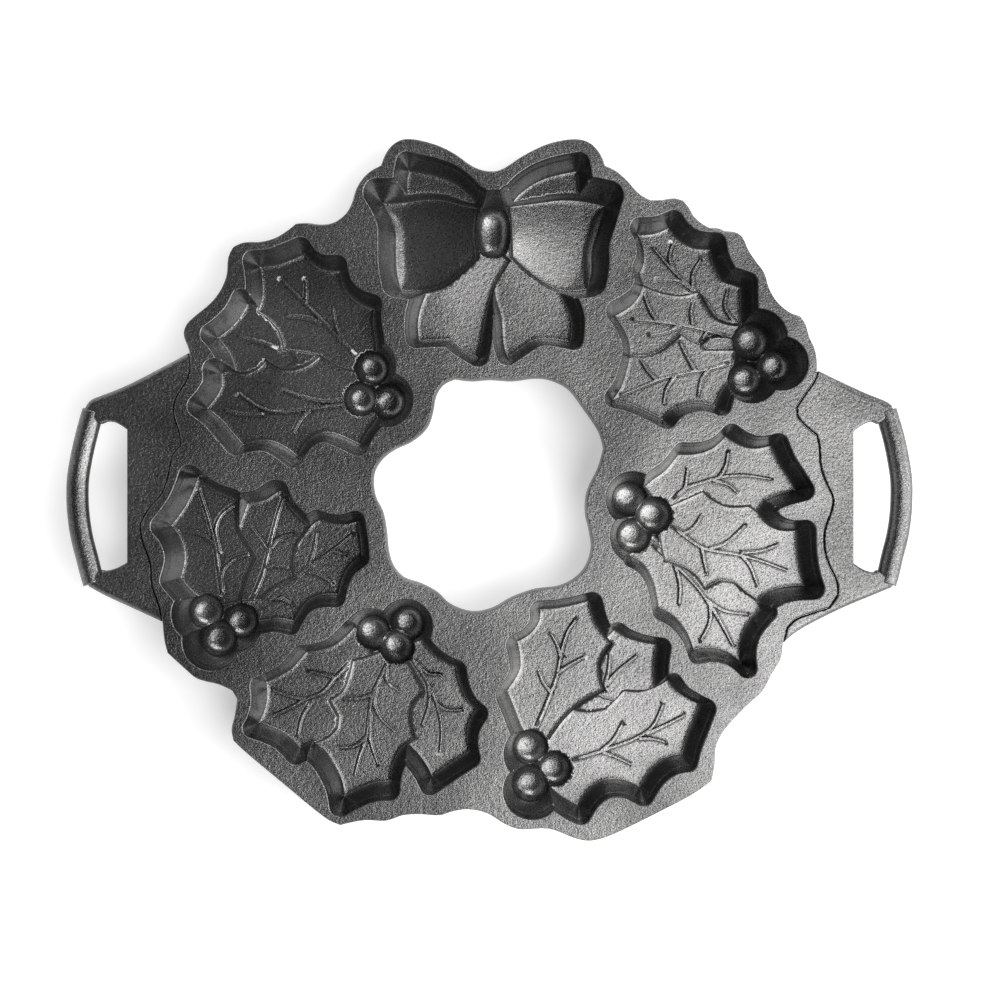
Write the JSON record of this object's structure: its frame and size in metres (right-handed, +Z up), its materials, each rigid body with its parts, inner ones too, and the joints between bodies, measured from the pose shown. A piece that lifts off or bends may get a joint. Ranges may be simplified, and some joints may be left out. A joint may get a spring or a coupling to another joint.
{
  "type": "cakelet pan",
  "caption": "Cast iron cakelet pan shaped as a holly wreath, with leaf cups, a ribbon bow cup and a grip at each side.",
  "frame": {"origin": "bottom centre of the bounding box, on the plane of the pads that the pan rests on", "axes": "+X towards the right grip, +Y towards the ribbon bow, +Z up out of the cups"},
  "size_m": [0.4, 0.331, 0.032],
  "materials": {
    "cast_iron": "seasoned sand-cast iron, dark grey, satin, with a fine cast grain"
  },
  "bodies": {
    "root": {"wreath_plate": "cast_iron", "ribbon_bow_cup": "cast_iron", "holly_cup_upper_left": "cast_iron", "holly_cup_left": "cast_iron", "holly_cup_lower_left": "cast_iron", "holly_cup_lower_right": "cast_iron", "holly_cup_right": "cast_iron", "holly_cup_upper_right": "cast_iron", "left_ear": "cast_iron", "right_ear": "cast_iron", "left_grip": "cast_iron", "right_grip": "cast_iron"}
  },
  "joints": []
}
